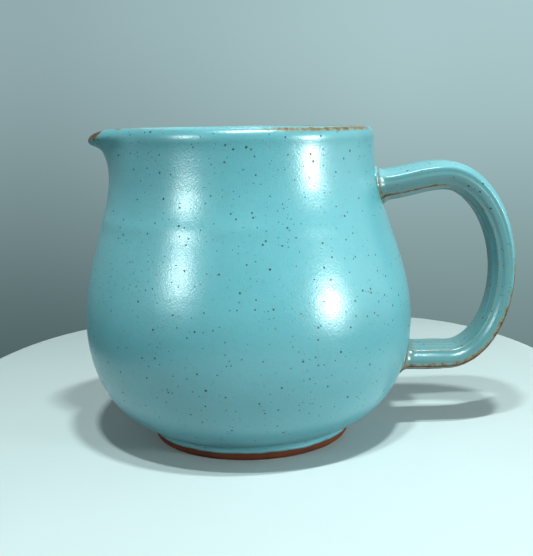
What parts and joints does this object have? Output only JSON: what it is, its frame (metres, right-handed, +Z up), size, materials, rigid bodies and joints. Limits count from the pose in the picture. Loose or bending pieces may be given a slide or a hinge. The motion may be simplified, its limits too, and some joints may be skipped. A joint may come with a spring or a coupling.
{
  "type": "ceramic pitcher",
  "caption": "Thrown stoneware pitcher with a round belly, a straight neck, a pulled spout, a bare foot ring and a pulled loop handle, glazed inside and out.",
  "frame": {"origin": "the middle of the foot, on the plane the pitcher stands on, on the axis it was thrown about", "axes": "+Z up; +X from the spout to the handle; the plane Y = 0 halves spout and handle"},
  "size_m": [0.1823, 0.1378, 0.1305],
  "materials": {
    "clay": "bare fired red-brown stoneware, matt and slightly gritty",
    "glaze": "satin turquoise glaze with iron specks, breaking brown over edges",
    "liner": "the same satin turquoise glaze inside"
  },
  "bodies": {
    "root": {"clay_body": "clay", "handle": "clay", "upper_handle_joint": "clay", "lower_handle_joint": "clay", "outer_glaze": "glaze", "liner_glaze": "liner", "handle_glaze": "glaze"}
  },
  "joints": []
}
